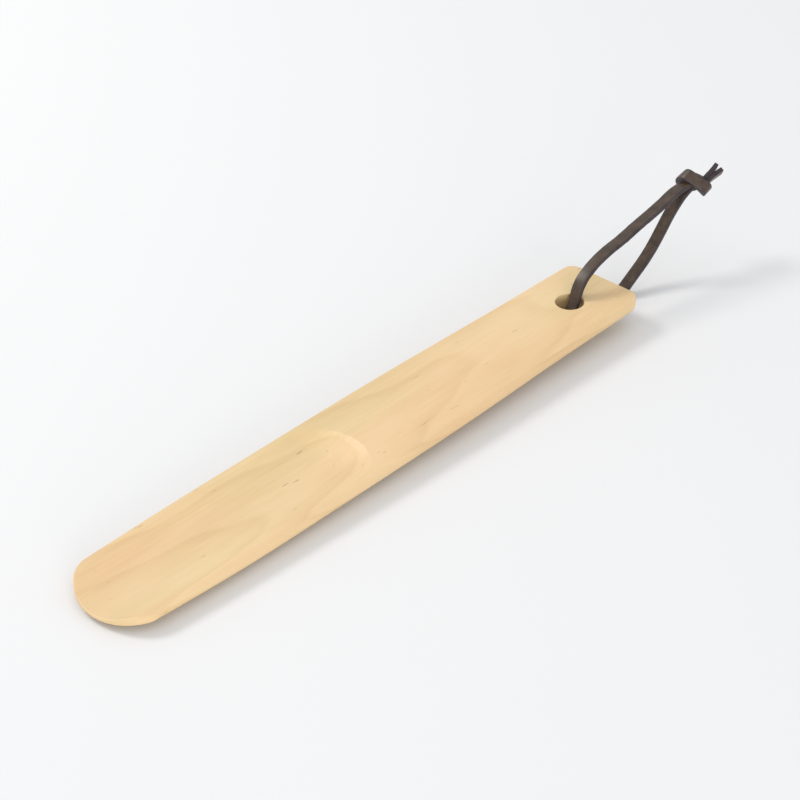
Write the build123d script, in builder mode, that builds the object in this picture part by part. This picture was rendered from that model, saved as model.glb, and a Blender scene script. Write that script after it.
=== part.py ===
from build123d import *
from math import cos, radians, sin, tan
import os

# Hand shoehorn: a one-piece wooden horn and the leather thong tied through its handle.
#
# The horn lies on a table as it is put down: the underside of the blade and the bight of the thong
# touch the table, and the thong props the handle up a little. +X runs from the blade to the handle,
# +Z is up, and the origin is on the table, below the middle of the horn's length. Millimetres.

# ---- driving dimensions of the wooden horn ----
LENGTH = 268.4              # tip of the blade to end of the handle
BLADE_WIDTH = 41.2          # widest place, in the blade
HANDLE_WIDTH = 35.5         # at the handle's end
TIP_WIDTH = 39.0            # where the rounded tip begins
TIP_LENGTH = 16.5           # length of the rounded tip
THICKNESS = 8.0             # flat top to the deepest line of the underside
END_CORNER_RADIUS = 5.0     # corners of the handle's end, seen from above
END_UNDER_RADIUS = 4.7      # rounding below the handle's end
EDGE_EASE = 0.3             # eased edges of the top face, the tip, the scoop and the hole

# ---- scoop of the blade ----
SCOOP_LENGTH = 123.4        # tip to the crest of the scoop
SCOOP_DEPTH = 4.8
SCOOP_TIP_DEPTH = 2.9       # where its floor runs out at the tip
SCOOP_RISE_LENGTH = 42.0    # length in which the floor rises to that
SCOOP_WIDTH = 36.4          # across the lips
SCOOP_END_LENGTH = 16.0     # run of the curved end wall

# ---- hole for the thong ----
HOLE_DIAMETER = 11.6
HOLE_TO_TIP = 245.7

# ---- how the horn lies ----
REST_TILT = 1.5             # slope of the top face, degrees
TIP_TO_ORIGIN = 134.26      # from the tip back to the origin, along the table
RIM_HEIGHT_AT_TIP = 6.3     # plane of the top face above the table, at the tip

# ---- leather thong ----
THONG_WIDTH = 5.0
THONG_THICKNESS = 1.8
KNOT_CENTRE = (188.2, 0.4, 35.6)
KNOT_ALONG = (0.972, -0.013, 0.239)     # from the loop towards the tails
KNOT_OUT = (-0.193, -0.638, 0.749)      # out of the front of the band round the knot
KNOT_LENGTH = 9.6
KNOT_WIDTH = 12.0
KNOT_HEIGHT = 11.0
KNOT_EASE = 3.0
TAIL_ROOT = (193.2, -1.45, 34.9)
TAIL_ALONG = (0.912, -0.120, 0.395)
TAIL_FACE = (-0.379, -0.626, 0.685)     # the way the tails' narrow edges face
TAIL_GRIP = 2.0             # length of each tail that is held in the knot
TAIL_LENGTH = 11.0          # of the upper tail, with that length
TAIL_EXTRA = 0.3            # by which the lower tail is longer
TAIL_SPREAD = 3.3           # angle of each tail from their middle line, degrees
TAIL_GAP = 0.05             # half of the space between the tails where they are closest

# The thong's centreline in the plane of symmetry, x and z: out of the knot, over the handle's end,
# down the hole, along the table below the handle and back up to the knot
LOOP_ROUTE = [
    (185.7, 36.6), (180.7, 36.6), (175.2, 35.8), (169.7, 34.1), (161.7, 32.1), (152.2, 30.3),
    (142.7, 27.8), (134.2, 26.7), (126.4, 24.5), (119.8, 21.1), (116.1, 17.1), (114.6, 11.2),
    (111.5, 6.6), (111.9, 3.2), (115.0, 1.3), (120.2, 1.2), (129.2, 1.0), (137.8, 1.4),
    (144.8, 2.0), (151.8, 6.5), (157.5, 10.0), (162.1, 13.4), (165.7, 16.9), (169.2, 20.7),
    (172.4, 24.5), (175.5, 27.8), (179.0, 30.8), (182.6, 33.3), (186.2, 34.6),
]
ARC_SHARE = 0.45            # of its shorter run that each corner's arc takes up

# ---- construction: how far cutting shapes reach past what they cut ----
TRIM = 1.0                  # past a face
CLEAR_OF_SIDES = 4.0        # past the horn's sides
TIP_MARGIN = 0.4            # by which the outline of the tip and the corners stands past the sides
BELLY_MARGIN = 0.03         # by which the rounded end starts below the belly

half_outline_at_tip = TIP_WIDTH / 2 + TIP_MARGIN
corner_y = HANDLE_WIDTH / 2 + TIP_MARGIN - END_CORNER_RADIUS
corner_start = LENGTH - END_CORNER_RADIUS

tilt = radians(REST_TILT)
horn_plane = Plane(
    origin=(-TIP_TO_ORIGIN, 0, RIM_HEIGHT_AT_TIP),
    x_dir=(cos(tilt), 0, sin(tilt)),
    z_dir=(-sin(tilt), 0, cos(tilt)),
)


def on_top(station, across=0.0, height=0.0):
    """A point given along the horn from its tip, across it, and above its top face."""
    return horn_plane.from_local_coords(Vector(station, across, height))


def cross_plane(station):
    """Plane across the horn: its x is the part's +Y, its y is away from the underside."""
    return Plane(origin=on_top(station), x_dir=(0, 1, 0), z_dir=horn_plane.x_dir)


def long_plane(across=0.0):
    """Plane along the horn: its x runs to the handle, its y is up out of the top face."""
    return Plane(origin=on_top(0, across), x_dir=horn_plane.x_dir, z_dir=(0, -1, 0))


def horn_section(station, width, wall, depth, slope):
    """Closed section: upright walls, a rounded shoulder on each side and one wide belly arc,
    all tangent. wall and depth are below the top face; slope is the belly's at its edges."""
    half = width / 2
    edge_cos, edge_sin = cos(radians(slope)), sin(radians(slope))
    rise = tan(radians(slope) / 2)
    shoulder = (depth - wall - half * rise) / (edge_cos - (1 - edge_sin) * rise)
    belly_half = half - shoulder * (1 - edge_sin)
    belly_edge = wall + shoulder * edge_cos
    with BuildSketch(cross_plane(station)) as section:
        with BuildLine():
            Line((-half, TRIM), (half, TRIM))
            Line((half, TRIM), (half, -wall))
            TangentArc((half, -wall), (belly_half, -belly_edge), tangent=(0, -1))
            ThreePointArc((belly_half, -belly_edge), (0, -depth), (-belly_half, -belly_edge))
            TangentArc((-half, -wall), (-belly_half, -belly_edge), tangent=(0, -1))
            Line((-half, -wall), (-half, TRIM))
        make_face()
    return section.sketch


def under_end_profile(plane):
    """What is cut away below the handle's end: a square corner less its quarter round."""
    top, bottom = END_UNDER_RADIUS - THICKNESS, -THICKNESS - BELLY_MARGIN
    inner = LENGTH - END_UNDER_RADIUS
    with BuildSketch(plane) as profile:
        with BuildLine():
            RadiusArc((LENGTH, top), (inner, bottom), END_UNDER_RADIUS)
            Polyline(
                (inner, bottom),
                (inner, bottom - TRIM),
                (LENGTH + TRIM, bottom - TRIM),
                (LENGTH + TRIM, top),
                (LENGTH, top),
            )
        make_face()
    return profile.sketch


def station_of(edge):
    """How far an edge's middle is from the tip, along the horn."""
    return horn_plane.to_local_coords(edge.center()).X


os.makedirs("parts", exist_ok=True)

# ---- wooden horn ----
with BuildPart() as shoehorn:
    # station, width, upright wall, depth at the middle, slope of the belly's edges
    for section in [
        (0, TIP_WIDTH, 1.3, 4.3, 12),
        (20, TIP_WIDTH + 0.5, 1.9, 6.0, 14),
        (45, BLADE_WIDTH - 0.6, 2.7, 7.4, 14),
        (75, BLADE_WIDTH - 0.1, 3.0, THICKNESS, 13),
        (120, BLADE_WIDTH, 3.1, THICKNESS, 11),
        (190, BLADE_WIDTH - 2.0, 3.4, THICKNESS, 8),
        (230, BLADE_WIDTH - 4.1, 3.6, THICKNESS, 7),
        (LENGTH + 2, HANDLE_WIDTH, 3.6, THICKNESS, 7),
    ]:
        add(horn_section(*section))
    loft()

    # the flat top, and seen from above the rounded tip and the rounded corners of the handle's end
    with BuildSketch(horn_plane):
        with BuildLine():
            tip = EllipticalCenterArc(
                (TIP_LENGTH, 0), TIP_LENGTH, half_outline_at_tip, start_angle=90, arc_size=90
            )
            flare = Line(tip @ 0, (TIP_LENGTH + CLEAR_OF_SIDES, BLADE_WIDTH / 2 + CLEAR_OF_SIDES))
            beside = Line(flare @ 1, (corner_start, BLADE_WIDTH / 2 + CLEAR_OF_SIDES))
            back = Line(beside @ 1, (corner_start, corner_y + END_CORNER_RADIUS))
            corner = RadiusArc(back @ 1, (LENGTH, corner_y), END_CORNER_RADIUS)
            Line(corner @ 1, (LENGTH, 0))
            mirror(about=Plane.XZ)
        make_face()
    extrude(amount=-(THICKNESS + TRIM), mode=Mode.INTERSECT)

    # scoop: turned about an axis above the blade, so that every cross-section is an arc
    scoop_radius = (SCOOP_WIDTH ** 2 / 4 + SCOOP_DEPTH ** 2) / (2 * SCOOP_DEPTH)
    axis_height = scoop_radius - SCOOP_DEPTH
    with BuildSketch(long_plane()):
        with BuildLine():
            floor = Line(
                (SCOOP_RISE_LENGTH, -SCOOP_DEPTH), (SCOOP_LENGTH - SCOOP_END_LENGTH, -SCOOP_DEPTH)
            )
            rise = TangentArc(floor @ 0, (-TRIM, -SCOOP_TIP_DEPTH), tangent=(-1, 0))
            end_wall = TangentArc(floor @ 1, (SCOOP_LENGTH, 0), tangent=floor % 1)
            Polyline(
                end_wall @ 1,
                (SCOOP_LENGTH, axis_height),
                (-TRIM, axis_height),
                rise @ 1,
            )
        make_face()
    revolve(axis=Axis(on_top(0, height=axis_height), horn_plane.x_dir), mode=Mode.SUBTRACT)

    # rounded underside of the handle's end: a straight run, and a turned corner at each side
    extrude(
        under_end_profile(long_plane(corner_y)),
        amount=2 * corner_y,
        dir=(0, -1, 0),
        mode=Mode.SUBTRACT,
    )
    for side in (-1, 1):
        revolve(
            under_end_profile(long_plane(side * corner_y)),
            axis=Axis(on_top(corner_start, side * corner_y), horn_plane.z_dir),
            revolution_arc=side * 90,
            mode=Mode.SUBTRACT,
        )

    # hole for the thong
    with Locations(Plane(on_top(HOLE_TO_TIP), horn_plane.x_dir, horn_plane.z_dir)):
        Hole(HOLE_DIAMETER / 2)

    # eased edges: the flat top's, with the scoop's crest and lips and the hole's upper edge, the
    # tip's, and the hole's lower edge
    top_face = shoehorn.faces().sort_by(Axis(horn_plane.origin, horn_plane.z_dir))[-1]
    tip_edges = shoehorn.edges().filter_by(
        lambda edge: station_of(edge) < TIP_LENGTH and edge.length > THICKNESS
    )
    hole_wall = shoehorn.faces().filter_by(GeomType.CYLINDER).sort_by(
        lambda face: abs(face.center().X - on_top(HOLE_TO_TIP).X)
    )[0]
    hole_lower_edge = hole_wall.edges().sort_by(Axis.Z)[0]
    fillet(top_face.edges() + tip_edges + [hole_lower_edge], EDGE_EASE)

shoehorn.part.label = "shoehorn"
export_step(shoehorn.part, "parts/shoehorn.step")


# ---- leather thong: the loop ----
def corner_radii(points):
    """As large a radius at each corner of a route as its two runs allow."""
    radii = []
    for before, here, after in zip(points, points[1:], points[2:]):
        run_in = Vector(here) - Vector(before)
        run_out = Vector(after) - Vector(here)
        half_turn = radians(run_in.get_angle(run_out) / 2)
        radii.append(ARC_SHARE * min(run_in.length, run_out.length) / tan(half_turn))
    return radii


radii = corner_radii(LOOP_ROUTE)
with BuildPart() as thong_loop:
    with BuildLine(Plane.XZ) as route:
        FilletPolyline(*LOOP_ROUTE, radius=radii)
    centreline = route.wires()[0]
    with BuildSketch(Plane(centreline @ 0, x_dir=(0, 1, 0), z_dir=centreline % 0)):
        Rectangle(THONG_WIDTH, THONG_THICKNESS)
    sweep()

thong_loop.part.label = "thong_loop"
export_step(thong_loop.part, "parts/thong_loop.step")

print("loop radii", [round(radius, 1) for radius in radii])
print("loop length", round(centreline.length, 2))
print("loop volume", round(thong_loop.part.volume, 1))
print("section times length", round(THONG_WIDTH * THONG_THICKNESS * centreline.length, 1))

# ---- leather thong: the two tails beyond the knot, side by side and a little apart ----
tail_plane = Plane(origin=TAIL_ROOT, x_dir=TAIL_ALONG, z_dir=TAIL_FACE)


def tail_outline(side, length):
    """One tail seen on its narrow edge; side is 1 for the upper tail and -1 for the lower."""
    with BuildSketch(tail_plane) as outline:
        with Locations((-TAIL_GRIP, side * (THONG_THICKNESS / 2 + TAIL_GAP))):
            Rectangle(
                length,
                THONG_THICKNESS,
                rotation=side * TAIL_SPREAD,
                align=(Align.MIN, Align.CENTER),
            )
    return outline.sketch


with BuildPart() as thong_tail_upper:
    extrude(tail_outline(1, TAIL_LENGTH), amount=THONG_WIDTH / 2, both=True)

thong_tail_upper.part.label = "thong_tail_upper"
export_step(thong_tail_upper.part, "parts/thong_tail_upper.step")

with BuildPart() as thong_tail_lower:
    extrude(tail_outline(-1, TAIL_LENGTH + TAIL_EXTRA), amount=THONG_WIDTH / 2, both=True)

thong_tail_lower.part.label = "thong_tail_lower"
export_step(thong_tail_lower.part, "parts/thong_tail_lower.step")

# ---- leather thong: the overhand knot that holds both ends, as one lump ----
with BuildPart() as thong_knot:
    with BuildSketch(Plane(origin=KNOT_CENTRE, x_dir=KNOT_ALONG, z_dir=KNOT_OUT)):
        RectangleRounded(KNOT_LENGTH, KNOT_WIDTH, KNOT_EASE)
    extrude(amount=KNOT_HEIGHT / 2, both=True)
    knot_ends = thong_knot.faces().sort_by(Axis(KNOT_CENTRE, KNOT_OUT))
    fillet(knot_ends[0].edges() + knot_ends[-1].edges(), KNOT_EASE - EDGE_EASE)
    for held in (thong_loop, thong_tail_upper, thong_tail_lower):
        add(held.part, mode=Mode.SUBTRACT)

thong_knot.part.label = "thong_knot"
export_step(thong_knot.part, "parts/thong_knot.step")
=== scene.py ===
from math import cos, radians, sin

import bmesh
import bpy
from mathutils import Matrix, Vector, noise


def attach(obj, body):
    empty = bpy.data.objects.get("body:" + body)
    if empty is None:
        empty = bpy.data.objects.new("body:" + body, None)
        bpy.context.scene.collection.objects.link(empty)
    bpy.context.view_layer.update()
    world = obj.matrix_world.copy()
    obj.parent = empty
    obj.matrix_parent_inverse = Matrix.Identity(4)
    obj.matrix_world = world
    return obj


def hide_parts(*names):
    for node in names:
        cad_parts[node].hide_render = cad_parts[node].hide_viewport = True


# Hand shoehorn: a carved pale hardwood horn with a dark brown leather thong knotted through it.
# Metres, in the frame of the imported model: +X from the blade to the handle, +Z up, table at z = 0.

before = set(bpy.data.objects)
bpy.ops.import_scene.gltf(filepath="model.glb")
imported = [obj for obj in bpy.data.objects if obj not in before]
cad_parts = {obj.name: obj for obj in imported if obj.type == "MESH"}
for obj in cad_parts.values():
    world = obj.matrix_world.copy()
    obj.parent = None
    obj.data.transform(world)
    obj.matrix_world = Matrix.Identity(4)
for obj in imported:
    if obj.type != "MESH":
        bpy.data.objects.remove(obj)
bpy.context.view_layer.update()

MM = 0.001

# ---- the thong's line as x and z, at y = 0: from the knot over the handle's end, down the hole,
# ---- out under the handle and back up to the knot ----
LOOP_ROUTE = [
    (0.1857, 0.0366), (0.1807, 0.0366), (0.1752, 0.0358), (0.1697, 0.0341), (0.1617, 0.0321),
    (0.1522, 0.0303), (0.1427, 0.0278), (0.1342, 0.0267), (0.1264, 0.0245), (0.1198, 0.0211),
    (0.1161, 0.0171), (0.1146, 0.0112), (0.1115, 0.0066), (0.1119, 0.0032), (0.1150, 0.0013),
    (0.1202, 0.0012), (0.1292, 0.0010), (0.1378, 0.0014), (0.1448, 0.0020), (0.1518, 0.0065),
    (0.1575, 0.0100), (0.1621, 0.0134), (0.1657, 0.0169), (0.1692, 0.0207), (0.1724, 0.0245),
    (0.1755, 0.0278), (0.1790, 0.0308), (0.1826, 0.0333), (0.1862, 0.0346),
]
THONG_WIDTH = 5.0 * MM
THONG_THICKNESS = 1.8 * MM
THONG_CORNER = 0.35 * MM        # rounding of the lace's long edges
THONG_CROWN = 0.06 * MM         # by which the grain side bulges in the middle
THONG_FLAT = THONG_WIDTH / 2 - THONG_CORNER * 0.99      # half the flat side, a hair over
FACE_STEPS = 6                  # strips across each flat side of the lace
CORNER_STEPS = 3                # strips round each of its corners
LINE_STEPS = 14                 # rings of the lace from one control point to the next
WANDER = 0.05 * MM              # by which the lace strays from its line
WANDER_SCALE = 420.0            # how often it does so, per metre

# ---- the knot: its own axes, and the laces' lines through it in millimetres along those axes ----
# along: towards the tails; across: down the front band; out: towards the front band's outside
KNOT_AT = Vector((0.1892, -0.0004, 0.0352))
KNOT_ALONG = Vector((0.945, -0.075, 0.310)).normalized()
KNOT_ACROSS = Vector((0.142, -0.772, -0.621)).normalized()
KNOT_OUT = KNOT_ACROSS.cross(KNOT_ALONG).normalized()
KNOT_LEAD = 1.5 * MM            # how far each lace runs on straight before it turns into the knot

# the doubled lace's middle line through the knot, and the way the outer lace's grain side looks
KNOT_ROUTE = [
    ((2.4, 0.3, 0.1), (0.10, -0.30, 0.95)),
    ((4.6, -0.2, -0.8), (0.75, -0.45, 0.50)),
    ((5.2, 2.2, -1.8), (0.90, 0.20, -0.40)),
    ((3.6, 4.4, -1.6), (0.40, 0.75, -0.55)),
    ((2.0, 5.0, 0.8), (0.05, 1.00, 0.00)),
    ((1.3, 4.4, 3.4), (0.10, 0.70, 0.70)),
    ((0.3, 1.7, 3.7), (-0.28, 0.05, 0.96)),
    ((-0.7, -1.7, 3.7), (-0.34, -0.05, 0.94)),
    ((-1.4, -4.4, 3.4), (-0.30, -0.62, 0.70)),
    ((-1.4, -5.0, 0.4), (0.00, -1.00, 0.00)),
    ((-1.0, -4.5, -3.2), (0.00, -0.70, -0.70)),
    ((0.2, -1.4, -4.3), (-0.20, -0.10, -1.00)),
    ((2.4, 1.4, -3.6), (-0.60, 0.50, -0.60)),
    ((4.4, 2.7, -1.2), (-0.20, 0.95, 0.00)),
]
LOWER_TAIL = [(6.4, 3.2, -0.2), (10.0, 3.1, 0.2), (13.8, 3.6, 0.7)]
UPPER_TAIL = [(6.4, 1.4, -0.2), (9.8, 1.3, 0.2), (13.6, 0.5, 0.7)]
TAIL_FACE = (0.1, 0.97, 0.2)     # the way the outer lace's grain side looks along the tails


# ---------------------------------------------------------------- node helpers
def new_material(name):
    material = bpy.data.materials.new(name)
    material.use_nodes = True
    tree = material.node_tree
    return material, tree, tree.nodes["Principled BSDF"]


def add_node(tree, kind, inputs=None, **settings):
    """A node with its settings and input values; an input that is a socket is linked instead."""
    node = tree.nodes.new(kind)
    for key, value in settings.items():
        setattr(node, key, value)
    for key, value in (inputs or {}).items():
        if isinstance(value, bpy.types.NodeSocket):
            tree.links.new(value, node.inputs[key])
        else:
            node.inputs[key].default_value = value
    return node


def mapped(tree, scale=(1.0, 1.0, 1.0), location=(0.0, 0.0, 0.0)):
    """The piece's own coordinates, scaled, for a pattern that stays with the piece."""
    coordinates = add_node(tree, "ShaderNodeTexCoord")
    inputs = {"Vector": coordinates.outputs["Object"], "Scale": scale, "Location": location}
    return add_node(tree, "ShaderNodeMapping", inputs).outputs["Vector"]


def noise_at(tree, vector, scale=1.0, detail=2.0, roughness=0.5):
    inputs = {"Vector": vector, "Scale": scale, "Detail": detail, "Roughness": roughness}
    return add_node(tree, "ShaderNodeTexNoise", inputs).outputs["Fac"]


def calculate(tree, operation, first, second=0.0):
    return add_node(tree, "ShaderNodeMath", {0: first, 1: second}, operation=operation).outputs[0]


def weighted_sum(tree, parts):
    """The sum of patterns; parts are (pattern, weight)."""
    total = None
    for pattern, weight in parts:
        term = calculate(tree, "MULTIPLY", pattern, weight)
        total = term if total is None else calculate(tree, "ADD", total, term)
    return total


def ramp(tree, value, stops):
    """A colour ramp; stops are (place, colour), and a colour that is one number is a grey."""
    node = add_node(tree, "ShaderNodeValToRGB", {"Fac": value})
    elements = node.color_ramp.elements
    while len(elements) < len(stops):
        elements.new(0.5)
    for element, (place, colour) in zip(elements, stops):
        element.position = place
        element.color = (*colour, 1.0) if isinstance(colour, tuple) else (colour,) * 3 + (1.0,)
    return node.outputs["Color"]


def mix(tree, blend_type, factor, first, second):
    inputs = {0: factor, 6: first, 7: second}
    node = add_node(tree, "ShaderNodeMix", inputs, data_type="RGBA", blend_type=blend_type)
    return node.outputs[2]


def add_bump(tree, shader, strength, distance, height):
    inputs = {"Strength": strength, "Distance": distance, "Height": height}
    bump = add_node(tree, "ShaderNodeBump", inputs)
    tree.links.new(bump.outputs["Normal"], shader.inputs["Normal"])


# ---------------------------------------------------------------- camera, lights, table
CAMERA_AT = Vector((-0.4253, -0.4184, 0.4341))
CAMERA_HEADING = 46.36          # degrees from +Y towards +X
CAMERA_PITCH = 34.71            # degrees below the horizon
CAMERA_LENS = 90.0              # mm
CAMERA_SENSOR = 36.0            # mm
TABLE_HALF = 6.0                # half the table's side
TABLE_COLOUR = (0.79, 0.79, 0.795, 1.0)


def add_camera():
    data = bpy.data.cameras.new("camera")
    data.lens = CAMERA_LENS
    data.sensor_width = CAMERA_SENSOR
    data.clip_start = 0.01
    data.clip_end = 100.0
    camera = bpy.data.objects.new("camera", data)
    camera.location = CAMERA_AT
    camera.rotation_euler = (radians(90.0 - CAMERA_PITCH), 0.0, radians(-CAMERA_HEADING))
    bpy.context.scene.collection.objects.link(camera)
    bpy.context.scene.camera = camera


def add_area_light(name, towards, distance, size, power, colour):
    """A disc light that shines on the middle of the horn from the direction towards."""
    data = bpy.data.lights.new(name, "AREA")
    data.shape = "DISK"
    data.size = size
    data.energy = power
    data.color = colour
    light = bpy.data.objects.new(name, data)
    light.location = Vector(towards).normalized() * distance
    light.rotation_euler = Vector(towards).to_track_quat("Z", "Y").to_euler()
    bpy.context.scene.collection.objects.link(light)


def add_world(colour, strength):
    world = bpy.data.worlds.new("studio")
    world.use_nodes = True
    background = world.node_tree.nodes["Background"]
    background.inputs["Color"].default_value = (*colour, 1.0)
    background.inputs["Strength"].default_value = strength
    bpy.context.scene.world = world


def add_table():
    mesh = bpy.data.meshes.new("table")
    corners = [(-1, -1), (1, -1), (1, 1), (-1, 1)]
    vertices = [(x * TABLE_HALF, y * TABLE_HALF, 0.0) for x, y in corners]
    mesh.from_pydata(vertices, [], [(0, 1, 2, 3)])
    table = bpy.data.objects.new("table", mesh)
    bpy.context.scene.collection.objects.link(table)
    material, _, shader = new_material("table_white")
    shader.inputs["Base Color"].default_value = TABLE_COLOUR
    shader.inputs["Roughness"].default_value = 0.7
    shader.inputs["Specular IOR Level"].default_value = 0.2
    mesh.materials.append(material)


add_camera()
add_table()
add_world(colour=(0.965, 0.98, 1.0), strength=0.86)
add_area_light(
    "key",
    towards=(-0.30, 0.87, 0.95),
    distance=1.7,
    size=0.55,
    power=11.0,
    colour=(1.0, 0.98, 0.94),
)
add_area_light(
    "fill",
    towards=(-0.60, -0.95, 0.12),
    distance=1.6,
    size=0.9,
    power=13.0,
    colour=(1.0, 0.97, 0.94),
)
bpy.context.scene.view_settings.view_transform = "Standard"


# ---------------------------------------------------------------- materials
PITH_DEPTH = 0.040              # how far below the origin the tree's middle lies
PITH_SLOPE = 0.10               # by which it falls away, per metre along the horn
PITH_SIDE = 0.004               # how far it lies to the side
RING_DRIFT = 0.022              # by which the rings stray from circles
RINGS_PER_METRE = 105.0
RING_WEIGHT, FIBRE_WEIGHT, MOTTLING_WEIGHT = 0.14, 0.26, 0.60
WOOD_STOPS = [
    (0.25, (0.83, 0.61, 0.365)),
    (0.52, (0.75, 0.525, 0.285)),
    (0.85, (0.62, 0.41, 0.20)),
]
GREENISH_TINT = (0.90, 1.0, 0.92)
REDDISH_TINT = (1.0, 0.95, 0.94)
TINT_STRENGTH = 0.5
FLECK_COLOUR = (0.36, 0.22, 0.11, 1.0)
FLECK_STRENGTH = 0.55
WOOD_ROUGHNESS = 0.40
FIBRE_ROUGHNESS = 0.16          # what the fibres add to it
PATCH_WEIGHT, GRAIN_WEIGHT = 0.6, 0.4
GRAIN_ROUGHNESS = 0.12          # what the leather's grain adds to its roughness


def growth_rings(tree):
    """How dark the growth rings are at each place, from 0 to 1."""
    place = mapped(tree)
    drift = noise_at(tree, mapped(tree, (9.0, 26.0, 26.0)))
    split = add_node(tree, "ShaderNodeSeparateXYZ", {0: place})
    slope = calculate(tree, "MULTIPLY", split.outputs["X"], PITH_SLOPE)
    height = calculate(tree, "ADD", slope, PITH_DEPTH)
    height = calculate(tree, "ADD", height, split.outputs["Z"])
    side = calculate(tree, "ADD", split.outputs["Y"], PITH_SIDE)
    height_squared = calculate(tree, "POWER", height, 2.0)
    side_squared = calculate(tree, "POWER", side, 2.0)
    distance = calculate(tree, "SQRT", calculate(tree, "ADD", height_squared, side_squared))
    distance = calculate(tree, "ADD", distance, calculate(tree, "MULTIPLY", drift, RING_DRIFT))
    rings = calculate(tree, "FRACT", calculate(tree, "MULTIPLY", distance, RINGS_PER_METRE))
    return ramp(tree, rings, [(0.0, 0.0), (0.70, 0.25), (0.92, 1.0), (1.0, 0.1)])


def wood_material():
    """Pale maple, cut on the flat: soft arched growth rings, fine fibres and a few dark flecks."""
    material, tree, shader = new_material("maple")
    rings = growth_rings(tree)
    fibres = noise_at(tree, mapped(tree, (22.0, 900.0, 900.0)), detail=3.0, roughness=0.6)
    mottling = noise_at(tree, mapped(tree, (14.0, 60.0, 60.0)), detail=3.0, roughness=0.55)
    tone = weighted_sum(
        tree, [(rings, RING_WEIGHT), (fibres, FIBRE_WEIGHT), (mottling, MOTTLING_WEIGHT)]
    )
    colour = ramp(tree, tone, WOOD_STOPS)
    patches = noise_at(tree, mapped(tree, (7.0, 40.0, 40.0), location=(3.0, 1.0, 0.0)), detail=1.0)
    tint = ramp(tree, patches, [(0.35, GREENISH_TINT), (0.65, REDDISH_TINT)])
    colour = mix(tree, "MULTIPLY", TINT_STRENGTH, colour, tint)

    # short dark flecks along the grain
    fleck_noise = noise_at(tree, mapped(tree, (130.0, 900.0, 900.0)), detail=1.0)
    flecks = ramp(tree, fleck_noise, [(0.74, 0.0), (0.80, 1.0)])
    fleck_factor = calculate(tree, "MULTIPLY", flecks, FLECK_STRENGTH)
    colour = mix(tree, "MIX", fleck_factor, colour, FLECK_COLOUR)
    tree.links.new(colour, shader.inputs["Base Color"])

    unevenness = calculate(tree, "MULTIPLY", fibres, FIBRE_ROUGHNESS)
    roughness = calculate(tree, "ADD", WOOD_ROUGHNESS, unevenness)
    tree.links.new(roughness, shader.inputs["Roughness"])
    shader.inputs["Specular IOR Level"].default_value = 0.45
    add_bump(tree, shader, 0.25, 0.3 * MM, calculate(tree, "ADD", fibres, flecks))
    return material


def leather_material(name, dark, light, roughness, grain_scale, bump_height, sheen):
    """One side of the lace: mottled brown over a fine grain or nap."""
    material, tree, shader = new_material(name)
    place = mapped(tree)
    patches = noise_at(tree, place, scale=260.0, detail=3.0)
    grain = noise_at(tree, place, scale=grain_scale, detail=3.0, roughness=0.6)
    tone = weighted_sum(tree, [(patches, PATCH_WEIGHT), (grain, GRAIN_WEIGHT)])
    colour = ramp(tree, tone, [(0.36, dark), (0.64, light)])
    tree.links.new(colour, shader.inputs["Base Color"])
    unevenness = calculate(tree, "MULTIPLY", grain, GRAIN_ROUGHNESS)
    tree.links.new(calculate(tree, "ADD", roughness, unevenness), shader.inputs["Roughness"])
    shader.inputs["Specular IOR Level"].default_value = 0.5
    shader.inputs["Sheen Weight"].default_value = sheen
    shader.inputs["Sheen Roughness"].default_value = 0.5
    add_bump(tree, shader, 0.5, bump_height, grain)
    return material


wood = wood_material()
leather_grain = leather_material(
    "leather_grain",
    dark=(0.034, 0.020, 0.012),
    light=(0.080, 0.050, 0.032),
    roughness=0.34,
    grain_scale=2600.0,
    bump_height=0.08 * MM,
    sheen=0.0,
)
leather_flesh = leather_material(
    "leather_flesh",
    dark=(0.024, 0.015, 0.010),
    light=(0.078, 0.048, 0.028),
    roughness=0.78,
    grain_scale=1500.0,
    bump_height=0.20 * MM,
    sheen=0.15,
)
leather_edge = leather_material(
    "leather_edge",
    dark=(0.022, 0.014, 0.016),
    light=(0.050, 0.034, 0.036),
    roughness=0.7,
    grain_scale=1800.0,
    bump_height=0.15 * MM,
    sheen=0.1,
)
LEATHERS = [leather_grain, leather_edge, leather_flesh]
GRAIN, EDGE, FLESH = range(3)   # their places in that list


# ---------------------------------------------------------------- laces
def read_spline(points):
    """Points along the smooth NURBS line that has these control points."""
    data = bpy.data.curves.new("line", "CURVE")
    data.dimensions = "3D"
    data.resolution_u = LINE_STEPS
    spline = data.splines.new("NURBS")
    spline.points.add(len(points) - 1)
    for control, point in zip(spline.points, points):
        control.co = (*point, 1.0)
    spline.order_u = 3
    spline.use_endpoint_u = True
    line = bpy.data.objects.new("line", data)
    bpy.context.scene.collection.objects.link(line)
    mesh = bpy.data.meshes.new_from_object(line)
    read = [vertex.co.copy() for vertex in mesh.vertices]
    bpy.data.objects.remove(line)
    bpy.data.curves.remove(data)
    bpy.data.meshes.remove(mesh)
    return read


def lace_section():
    """The lace's cross-section, clockwise from the grain side's left edge, as (across, up)."""
    half, thick = THONG_WIDTH / 2 - THONG_CORNER, THONG_THICKNESS / 2
    section = []
    for step in range(FACE_STEPS + 1):
        share = step / FACE_STEPS * 2 - 1
        section.append((share * half, thick + THONG_CROWN * (1 - share * share)))
    for side, first_angle in ((1, 90), (-1, 270)):
        for quarter in (0, 1):
            up = side * (1 - 2 * quarter) * (thick - THONG_CORNER)
            for step in range(1, CORNER_STEPS + 1):
                angle = radians(first_angle - 90 * quarter - 90 * step / CORNER_STEPS)
                across = side * half + THONG_CORNER * cos(angle)
                section.append((across, up + THONG_CORNER * sin(angle)))
        if side == 1:
            for step in range(1, FACE_STEPS + 1):
                section.append(((1 - 2 * step / FACE_STEPS) * half, -thick))
    return section[:-1]


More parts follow.
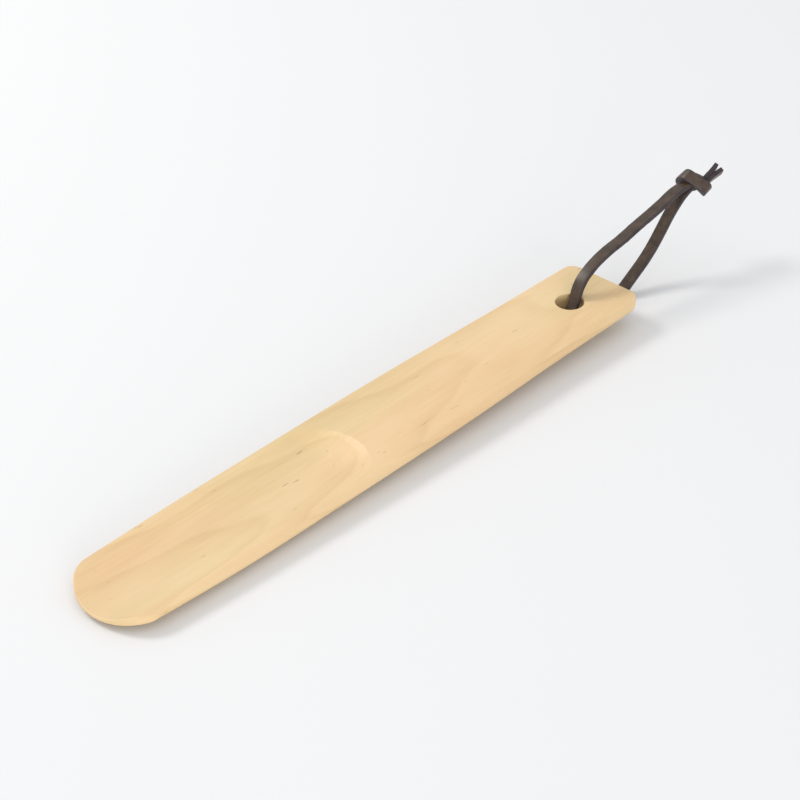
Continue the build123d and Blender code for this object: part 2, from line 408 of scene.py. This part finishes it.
def strip_side(first, second):
    """Which of LEATHERS shows between two neighbouring points of the cross-section."""
    if max(abs(first[0]), abs(second[0])) > THONG_FLAT:
        return EDGE
    return GRAIN if first[1] > 0 else FLESH


def chord(line, index):
    """From the point before to the point after this one."""
    return line[min(index + 1, len(line) - 1)] - line[max(index - 1, 0)]


def lace(name, line, faces):
    """A flat lace along a line; faces are the directions in which its grain side looks."""
    section = lace_section()
    count = len(section)
    vertices, polygons, slots = [], [], []
    for index, (point, face) in enumerate(zip(line, faces)):
        along = chord(line, index).normalized()
        face = (face - along * face.dot(along)).normalized()
        across = along.cross(face)
        for x, z in section:
            place = point + across * x + face * z
            wander = noise.noise(place * WANDER_SCALE) * WANDER
            vertices.append(place + across * wander + face * wander)
    for ring in range(len(line) - 1):
        for corner in range(count):
            following = (corner + 1) % count
            a, b = ring * count + corner, ring * count + following
            polygons.append((a, b, b + count, a + count))
            slots.append(strip_side(section[corner], section[following]))
    polygons.append(tuple(range(count)))
    polygons.append(tuple(reversed(range((len(line) - 1) * count, len(line) * count))))
    slots += [EDGE, EDGE]
    mesh = bpy.data.meshes.new(name)
    mesh.from_pydata(vertices, [], polygons)
    for material in LEATHERS:
        mesh.materials.append(material)
    for polygon, slot in zip(mesh.polygons, slots):
        polygon.material_index = slot
        polygon.use_smooth = len(polygon.vertices) == 4
    form = bmesh.new()
    form.from_mesh(mesh)
    bmesh.ops.recalc_face_normals(form, faces=form.faces)
    form.to_mesh(mesh)
    form.free()
    piece = bpy.data.objects.new(name, mesh)
    bpy.context.scene.collection.objects.link(piece)
    return piece


def loop_faces(line):
    """The grain side of the loop looks outwards all round."""
    sideways = Vector((0, 1, 0))
    return [sideways.cross(chord(line, index)).normalized() for index in range(len(line))]


loop_line = read_spline([(x, 0.0, z) for x, z in LOOP_ROUTE])
loop = lace("thong_loop_lace", loop_line, loop_faces(loop_line))
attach(loop, "thong")
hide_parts("thong_loop")


def knot_vector(along, across, out):
    return KNOT_ALONG * along + KNOT_ACROSS * across + KNOT_OUT * out


def knot_lace(name, start, start_along, start_face, side, tail):
    """One of the two laces in the knot, from the loop's end to its own tail's end.

    side is 1 for the lace on the outside of the wrap and -1 for the one inside it.
    """
    places = [start, start + start_along * KNOT_LEAD]
    faces = [start_face, start_face]
    for place, face in KNOT_ROUTE:
        out = knot_vector(*face).normalized()
        places.append(KNOT_AT + knot_vector(*place) * MM + out * side * THONG_THICKNESS / 2)
        faces.append(out * side)
    for place in tail:
        places.append(KNOT_AT + knot_vector(*place) * MM)
        faces.append(knot_vector(*TAIL_FACE).normalized() * side)
    line = read_spline(places)
    tips = read_spline([place + face * MM for place, face in zip(places, faces)])
    return lace(name, line, [(tip - point).normalized() for tip, point in zip(tips, line)])


loop_start_along = (loop_line[0] - loop_line[1]).normalized()
loop_end_along = (loop_line[-1] - loop_line[-2]).normalized()
lace_lower = knot_lace(
    "thong_knot_lace_outer", loop_line[0], loop_start_along, Vector((0, 0, 1)), 1, LOWER_TAIL
)
lace_upper = knot_lace(
    "thong_knot_lace_inner", loop_line[-1], loop_end_along, Vector((0.59, 0, -0.8)), -1, UPPER_TAIL
)
for piece, node in ((lace_lower, "thong_tail_lower"), (lace_upper, "thong_tail_upper")):
    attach(piece, "thong")
    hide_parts("thong_knot", node)

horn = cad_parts["shoehorn"]
for slot in horn.material_slots:
    slot.material = wood
